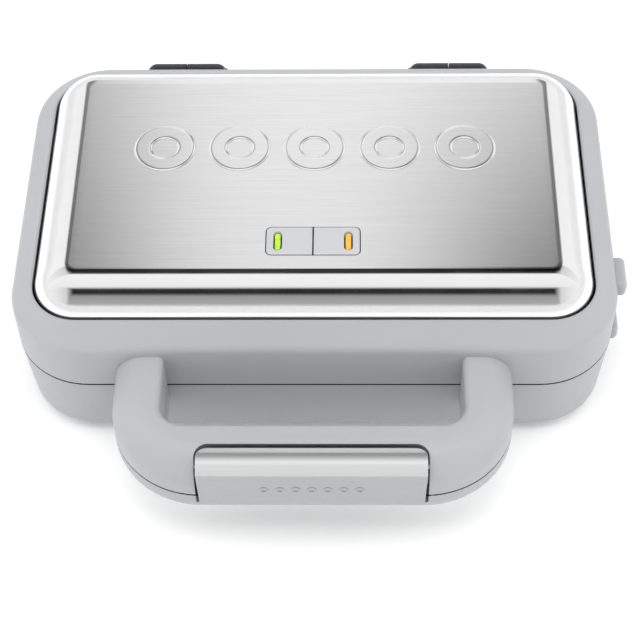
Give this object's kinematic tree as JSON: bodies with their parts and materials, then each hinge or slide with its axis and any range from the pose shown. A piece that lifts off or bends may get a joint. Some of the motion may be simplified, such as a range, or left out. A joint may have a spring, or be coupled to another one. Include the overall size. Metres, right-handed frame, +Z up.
{
  "type": "donut maker",
  "caption": "Countertop donut maker with a hinged lid, steel top, U-shaped split handle and a front latch clip, closed.",
  "frame": {"origin": "on the worktop under the middle of the baking plates, in the left-right plane of symmetry of the casings", "axes": "+Z up, +X to the right as seen from the handle, the handle towards -Y, the hinge towards +Y"},
  "size_m": [0.2776, 0.2475, 0.0899],
  "materials": {
    "grey_plastic": "satin moulded, fine grain",
    "polished_steel": "brushed flat panel, polished rolled sides",
    "satin_steel": "satin",
    "panel_plastic": "satin silver paint",
    "green_lens": "clear coloured",
    "amber_lens": "clear coloured",
    "ceramic_coating": "smooth non-stick coating on cast aluminium",
    "black_plastic": "fine grain",
    "aluminised_steel": "bright rolled sheet",
    "plated_steel": "plated",
    "black_rubber": "matte",
    "circuit_board": "solder mask",
    "natural_plastic": "plain moulded",
    "switch_ceramic": "unglazed"
  },
  "bodies": {
    "base": {"base_casing": "grey_plastic", "base_reflector": "aluminised_steel", "lower_element": "plated_steel", "lower_plate": "ceramic_coating", "base_frame": "black_plastic", "lower_handle_cap_left": "grey_plastic", "lower_handle_cap_right": "grey_plastic", "base_screws": "plated_steel", "lower_release_spring": "plated_steel", "cord_bush": "black_rubber", "thermostat": "switch_ceramic", "thermal_fuse": "switch_ceramic", "terminal_block": "natural_plastic", "base_hinge_knuckle_left": "black_plastic", "base_hinge_knuckle_right": "black_plastic", "hinge_pin_left": "plated_steel", "hinge_pin_right": "plated_steel", "foot_1": "black_rubber", "foot_2": "black_rubber", "foot_3": "black_rubber", "foot_4": "black_rubber"},
    "lid": {"lid_casing": "grey_plastic", "lid_cover": "polished_steel", "lid_deck": "natural_plastic", "lamp_board": "circuit_board", "power_lens": "green_lens", "ready_lens": "amber_lens", "indicator_panel_left": "panel_plastic", "indicator_panel_right": "panel_plastic", "deck_screws": "plated_steel", "lid_reflector": "aluminised_steel", "upper_element": "plated_steel", "upper_plate": "ceramic_coating", "lid_frame": "black_plastic", "lid_pan_screws": "plated_steel", "upper_handle_cap_left": "grey_plastic", "upper_handle_cap_right": "grey_plastic", "upper_release_spring": "plated_steel", "latch_pin": "plated_steel", "lid_hinge_knuckle_left": "black_plastic", "lid_hinge_knuckle_right": "black_plastic"},
    "latch": {"latch": "satin_steel"},
    "upper_release": {"upper_release_button": "grey_plastic"},
    "lower_release": {"lower_release_button": "grey_plastic"}
  },
  "joints": [
    {"name": "lid_hinge", "type": "hinge", "parent": "base", "child": "lid", "pos_m": [0, 0.0971, 0.0524], "axis": [-1, 0, 0], "range_deg": [0, 100]},
    {"name": "latch_pivot", "type": "hinge", "parent": "lid", "child": "latch", "pos_m": [0, -0.1366, 0.0556], "axis": [-1, 0, 0], "range_deg": [0, 35]},
    {"name": "upper_release_push", "type": "slide", "parent": "lid", "child": "upper_release", "axis": [-1, 0, 0], "range_m": [0, 0.0025], "stiffness_N_per_m": 300, "springref_m": -0.002, "deforming": ["upper_release_spring"]},
    {"name": "lower_release_push", "type": "slide", "parent": "base", "child": "lower_release", "axis": [-1, 0, 0], "range_m": [0, 0.0025], "stiffness_N_per_m": 300, "springref_m": -0.002, "deforming": ["lower_release_spring"]}
  ]
}
